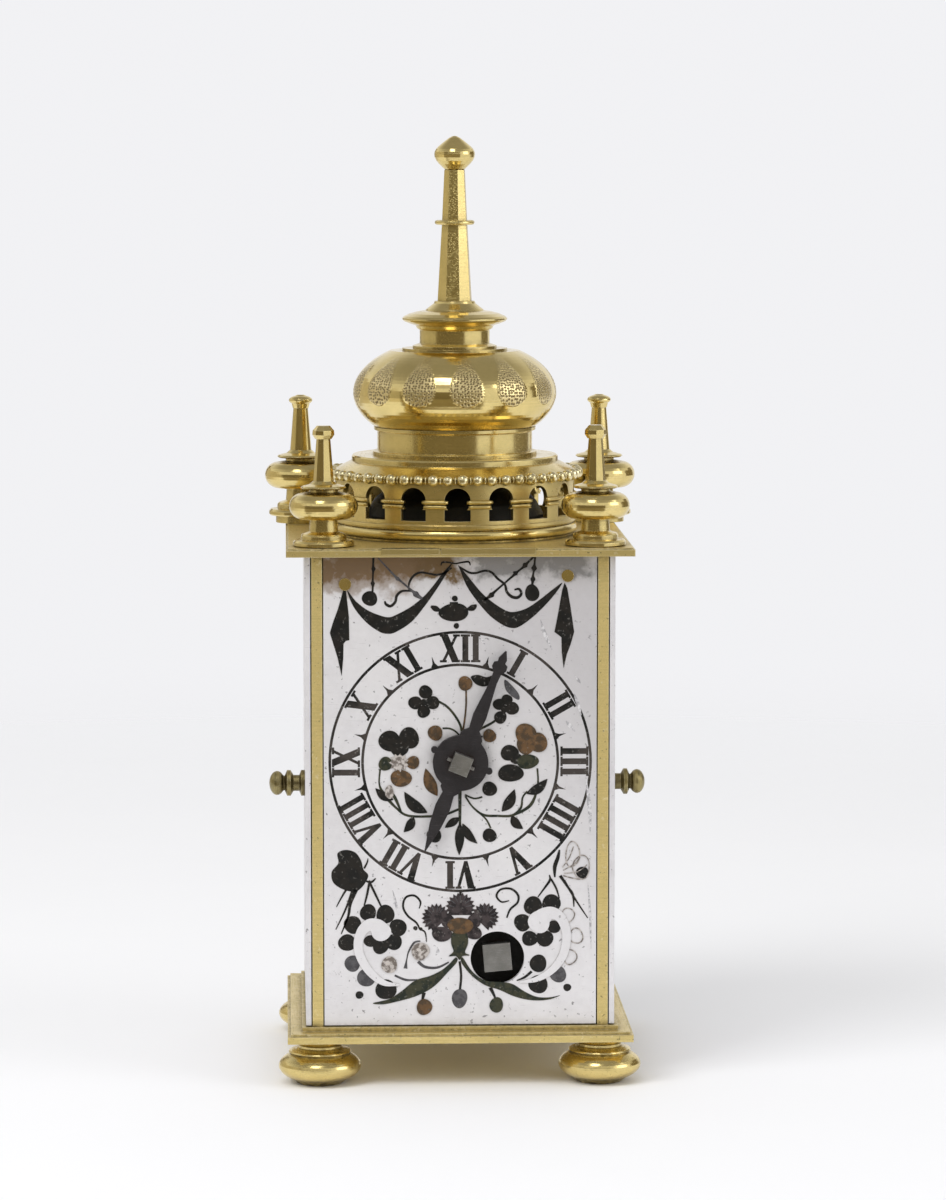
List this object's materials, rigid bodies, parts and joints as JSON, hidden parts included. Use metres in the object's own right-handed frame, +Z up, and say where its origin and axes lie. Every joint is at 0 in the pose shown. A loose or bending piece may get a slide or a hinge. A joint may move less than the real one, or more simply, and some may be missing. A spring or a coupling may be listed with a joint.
{
  "type": "lantern clock",
  "caption": "Small spring-driven table clock in lantern form: brass case frame with enamelled dial, one hand, hinged side doors, pierced bell gallery, onion dome and spire.",
  "frame": {"origin": "on the ground under the middle of the clock", "axes": "+X to the right seen from the dial, +Y from the dial to the back, +Z up to the spire"},
  "size_m": [0.0506, 0.0474, 0.1231],
  "materials": {
    "gilt_brass": "gilt, worn and tarnished, turned and polished",
    "foot_brass": "darkened turned brass",
    "silvered": "silvered, softly brushed, stained and scratched",
    "dial_enamel": "dark fired enamel, slightly glossy and pitted",
    "steel_dark": "dark forged and filed steel",
    "bell_metal": "dark cast and turned",
    "movement_brass": "filed and brushed brass"
  },
  "bodies": {
    "root": {"foot_front_left": "foot_brass", "foot_front_right": "foot_brass", "foot_back_left": "foot_brass", "foot_back_right": "foot_brass", "base_plate": "gilt_brass", "post_front_left": "gilt_brass", "post_front_right": "gilt_brass", "post_back_left": "gilt_brass", "post_back_right": "gilt_brass", "top_plate": "gilt_brass", "finial_front_left": "gilt_brass", "finial_front_right": "gilt_brass", "finial_back_left": "gilt_brass", "finial_back_right": "gilt_brass", "gallery_ring": "gilt_brass", "gallery": "gilt_brass", "lid": "gilt_brass", "drum": "gilt_brass", "dome": "gilt_brass", "neck": "gilt_brass", "spire": "gilt_brass", "spire_knob": "gilt_brass", "dial_rivets": "gilt_brass", "dial_plate": "silvered", "back_plate": "silvered", "dial_enamel": "dial_enamel", "bell": "bell_metal", "screws": "steel_dark", "tie_rod": "steel_dark", "tie_nut": "steel_dark", "click_spring": "steel_dark", "hammer_stop": "steel_dark", "hammer_spring": "steel_dark", "dial_bracket": "movement_brass", "potence": "movement_brass", "balance_cock": "movement_brass", "front_bar": "movement_brass", "back_bar": "movement_brass", "pillars": "movement_brass"},
    "left_door": {"door_left": "silvered", "side_knob_left": "gilt_brass"},
    "right_door": {"door_right": "silvered", "side_knob_right": "gilt_brass"},
    "hour_group": {"hour_hand": "steel_dark", "hand_pin": "steel_dark", "hour_arbor": "steel_dark", "hour_wheel": "movement_brass"},
    "idler_group": {"idler_wheel": "movement_brass"},
    "winding_group": {"winding_arbor": "steel_dark", "ratchet_wheel": "steel_dark"},
    "click_group": {"click": "steel_dark"},
    "barrel_group": {"barrel": "movement_brass", "mainspring": "steel_dark", "great_wheel": "movement_brass"},
    "second_group": {"second_arbor": "movement_brass"},
    "third_group": {"third_arbor": "movement_brass"},
    "fourth_group": {"fourth_arbor": "movement_brass"},
    "crown_group": {"crown_wheel": "movement_brass"},
    "balance_group": {"verge": "steel_dark"},
    "hammer_group": {"hammer": "steel_dark"}
  },
  "joints": [
    {"name": "left_door_swing", "type": "hinge", "parent": "root", "child": "left_door", "pos_m": [-0.01975, 0.0194, 0.0385], "axis": [0, 0, -1], "range_deg": [0, 110]},
    {"name": "right_door_swing", "type": "hinge", "parent": "root", "child": "right_door", "pos_m": [0.01975, 0.0194, 0.0385], "axis": [0, 0, 1], "range_deg": [0, 110]},
    {"name": "barrel_turn", "type": "hinge", "parent": "root", "child": "barrel_group", "pos_m": [0.00484, 0, 0.0166], "axis": [0, 1, 0], "continuous": true},
    {"name": "second_turn", "type": "hinge", "parent": "root", "child": "second_group", "pos_m": [0.00484, 0, 0.02574], "axis": [0, 1, 0], "continuous": true},
    {"name": "idler_turn", "type": "hinge", "parent": "root", "child": "idler_group", "pos_m": [0.00548, 0, 0.03491], "axis": [0, 1, 0], "continuous": true},
    {"name": "hour_turn", "type": "hinge", "parent": "root", "child": "hour_group", "pos_m": [0, 0, 0.0424], "axis": [0, 1, 0], "continuous": true},
    {"name": "fourth_turn", "type": "hinge", "parent": "root", "child": "fourth_group", "pos_m": [0.00317, 0, 0.04008], "axis": [0, 1, 0], "continuous": true},
    {"name": "third_turn", "type": "hinge", "parent": "root", "child": "third_group", "pos_m": [0.00201, 0, 0.03352], "axis": [0, 1, 0], "continuous": true},
    {"name": "crown_turn", "type": "hinge", "parent": "root", "child": "crown_group", "pos_m": [0, 0, 0.04529], "axis": [0, 1, 0], "continuous": true},
    {"name": "winding_turn", "type": "hinge", "parent": "root", "child": "winding_group", "pos_m": [0.00484, 0, 0.0166], "axis": [0, -1, 0], "range_deg": [0, 1350]},
    {"name": "click_lift", "type": "hinge", "parent": "root", "child": "click_group", "pos_m": [-0.00027, -0.0166, 0.01955], "axis": [0, 1, 0], "range_deg": [0, 8], "stiffness_Nm_per_rad": 0.0004, "springref_deg": -17.19},
    {"name": "balance_swing", "type": "hinge", "parent": "root", "child": "balance_group", "pos_m": [0, 0, 0.0718], "axis": [0, 0, 1], "range_deg": [-50, 50]},
    {"name": "hammer_lift", "type": "hinge", "parent": "root", "child": "hammer_group", "pos_m": [-0.0115, 0, 0.05], "axis": [0, -1, 0], "range_deg": [0, 2.8], "stiffness_Nm_per_rad": 0.002, "springref_deg": -5.73}
  ],
  "couplings": [
    {"joint": "second_turn", "follows": "barrel_turn", "ratio": -8},
    {"joint": "idler_turn", "follows": "barrel_turn", "ratio": 2},
    {"joint": "hour_turn", "follows": "barrel_turn", "ratio": -0.66667},
    {"joint": "third_turn", "follows": "fourth_turn", "ratio": -0.15},
    {"joint": "crown_turn", "follows": "fourth_turn", "ratio": -6}
  ]
}
